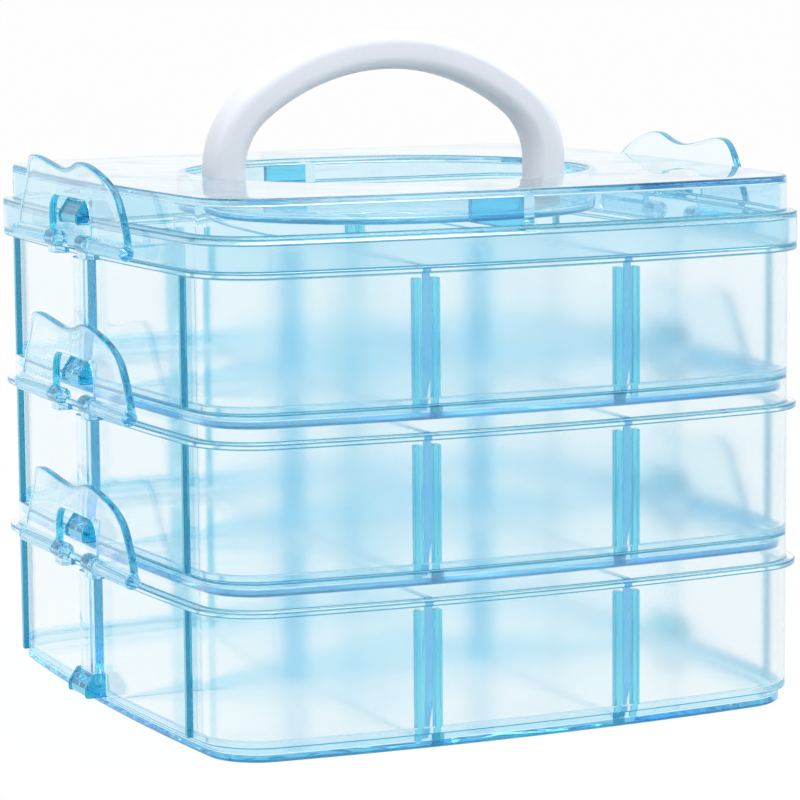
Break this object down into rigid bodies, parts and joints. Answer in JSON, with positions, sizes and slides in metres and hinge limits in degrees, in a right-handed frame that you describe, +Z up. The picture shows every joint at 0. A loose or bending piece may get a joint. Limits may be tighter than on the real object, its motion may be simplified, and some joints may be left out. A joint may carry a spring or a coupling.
{
  "type": "stacking organizer box",
  "caption": "Square see-through organizer box: stacking trays with lift-out dividers, hinged side latches that lock each tier to the next, and a lid with a folding carry handle.",
  "frame": {"origin": "centre of the base on the surface that the box stands on", "axes": "+X to the right along the front, towards the right latches, +Y from front to back, +Z up"},
  "size_m": [0.171, 0.1594, 0.1596],
  "materials": {
    "tray_plastic": "clear tinted gloss",
    "latch_plastic": "clear tinted gloss",
    "divider_plastic": "clear tinted gloss",
    "lid_plastic": "clear tinted gloss",
    "handle_plastic": "satin white"
  },
  "bodies": {
    "bottom_tray": {"bottom_tray": "tray_plastic"},
    "bottom_latch_left": {"bottom_latch_left": "latch_plastic"},
    "bottom_latch_right": {"bottom_latch_right": "latch_plastic"},
    "bottom_divider_front_left": {"bottom_divider_front_left": "divider_plastic"},
    "bottom_divider_front_right": {"bottom_divider_front_right": "divider_plastic"},
    "bottom_divider_back_left": {"bottom_divider_back_left": "divider_plastic"},
    "bottom_divider_back_right": {"bottom_divider_back_right": "divider_plastic"},
    "middle_tray": {"middle_tray": "tray_plastic"},
    "middle_latch_left": {"middle_latch_left": "latch_plastic"},
    "middle_latch_right": {"middle_latch_right": "latch_plastic"},
    "middle_divider_front_left": {"middle_divider_front_left": "divider_plastic"},
    "middle_divider_front_right": {"middle_divider_front_right": "divider_plastic"},
    "middle_divider_back_left": {"middle_divider_back_left": "divider_plastic"},
    "middle_divider_back_right": {"middle_divider_back_right": "divider_plastic"},
    "top_tray": {"top_tray": "tray_plastic"},
    "top_latch_left": {"top_latch_left": "latch_plastic"},
    "top_latch_right": {"top_latch_right": "latch_plastic"},
    "top_divider_front_left": {"top_divider_front_left": "divider_plastic"},
    "top_divider_front_right": {"top_divider_front_right": "divider_plastic"},
    "top_divider_back_left": {"top_divider_back_left": "divider_plastic"},
    "top_divider_back_right": {"top_divider_back_right": "divider_plastic"},
    "lid": {"lid": "lid_plastic"},
    "handle": {"handle": "handle_plastic"}
  },
  "joints": [
    {"name": "middle_tray_lift", "type": "slide", "parent": "bottom_tray", "child": "middle_tray", "axis": [0, 0, 1], "range_m": [0, 0.03]},
    {"name": "bottom_latch_left_swing", "type": "hinge", "parent": "bottom_tray", "child": "bottom_latch_left", "pos_m": [-0.082, 0, 0.0369], "axis": [0, -1, 0], "range_deg": [0, 160]},
    {"name": "bottom_latch_right_swing", "type": "hinge", "parent": "bottom_tray", "child": "bottom_latch_right", "pos_m": [0.082, 0, 0.0369], "axis": [0, 1, 0], "range_deg": [0, 160]},
    {"name": "bottom_divider_front_left_lift", "type": "slide", "parent": "bottom_tray", "child": "bottom_divider_front_left", "axis": [0, 0, 1], "range_m": [0, 0.0022]},
    {"name": "bottom_divider_front_right_lift", "type": "slide", "parent": "bottom_tray", "child": "bottom_divider_front_right", "axis": [0, 0, 1], "range_m": [0, 0.0022]},
    {"name": "bottom_divider_back_left_lift", "type": "slide", "parent": "bottom_tray", "child": "bottom_divider_back_left", "axis": [0, 0, 1], "range_m": [0, 0.0022]},
    {"name": "bottom_divider_back_right_lift", "type": "slide", "parent": "bottom_tray", "child": "bottom_divider_back_right", "axis": [0, 0, 1], "range_m": [0, 0.0022]},
    {"name": "top_tray_lift", "type": "slide", "parent": "middle_tray", "child": "top_tray", "axis": [0, 0, 1], "range_m": [0, 0.03]},
    {"name": "middle_latch_left_swing", "type": "hinge", "parent": "middle_tray", "child": "middle_latch_left", "pos_m": [-0.082, 0, 0.0745], "axis": [0, -1, 0], "range_deg": [0, 160]},
    {"name": "middle_latch_right_swing", "type": "hinge", "parent": "middle_tray", "child": "middle_latch_right", "pos_m": [0.082, 0, 0.0745], "axis": [0, 1, 0], "range_deg": [0, 160]},
    {"name": "middle_divider_front_left_lift", "type": "slide", "parent": "middle_tray", "child": "middle_divider_front_left", "axis": [0, 0, 1], "range_m": [0, 0.0022]},
    {"name": "middle_divider_front_right_lift", "type": "slide", "parent": "middle_tray", "child": "middle_divider_front_right", "axis": [0, 0, 1], "range_m": [0, 0.0022]},
    {"name": "middle_divider_back_left_lift", "type": "slide", "parent": "middle_tray", "child": "middle_divider_back_left", "axis": [0, 0, 1], "range_m": [0, 0.0022]},
    {"name": "middle_divider_back_right_lift", "type": "slide", "parent": "middle_tray", "child": "middle_divider_back_right", "axis": [0, 0, 1], "range_m": [0, 0.0022]},
    {"name": "lid_lift", "type": "slide", "parent": "top_tray", "child": "lid", "axis": [0, 0, 1], "range_m": [0, 0.03]},
    {"name": "top_latch_left_swing", "type": "hinge", "parent": "top_tray", "child": "top_latch_left", "pos_m": [-0.082, 0, 0.1121], "axis": [0, -1, 0], "range_deg": [0, 160]},
    {"name": "top_latch_right_swing", "type": "hinge", "parent": "top_tray", "child": "top_latch_right", "pos_m": [0.082, 0, 0.1121], "axis": [0, 1, 0], "range_deg": [0, 160]},
    {"name": "top_divider_front_left_lift", "type": "slide", "parent": "top_tray", "child": "top_divider_front_left", "axis": [0, 0, 1], "range_m": [0, 0.0022]},
    {"name": "top_divider_front_right_lift", "type": "slide", "parent": "top_tray", "child": "top_divider_front_right", "axis": [0, 0, 1], "range_m": [0, 0.0022]},
    {"name": "top_divider_back_left_lift", "type": "slide", "parent": "top_tray", "child": "top_divider_back_left", "axis": [0, 0, 1], "range_m": [0, 0.0022]},
    {"name": "top_divider_back_right_lift", "type": "slide", "parent": "top_tray", "child": "top_divider_back_right", "axis": [0, 0, 1], "range_m": [0, 0.0022]},
    {"name": "handle_fold", "type": "hinge", "parent": "lid", "child": "handle", "pos_m": [0, 0, 0.123], "axis": [1, 0, 0], "range_deg": [-90, 90]}
  ],
  "couplings": [
    {"joint": "bottom_latch_left_swing", "follows": "middle_tray_lift", "rad_per_m": 87.266},
    {"joint": "bottom_latch_right_swing", "follows": "middle_tray_lift", "rad_per_m": 87.266},
    {"joint": "middle_latch_left_swing", "follows": "top_tray_lift", "rad_per_m": 87.266},
    {"joint": "middle_latch_right_swing", "follows": "top_tray_lift", "rad_per_m": 87.266},
    {"joint": "top_latch_left_swing", "follows": "lid_lift", "rad_per_m": 87.266},
    {"joint": "top_latch_right_swing", "follows": "lid_lift", "rad_per_m": 87.266}
  ]
}
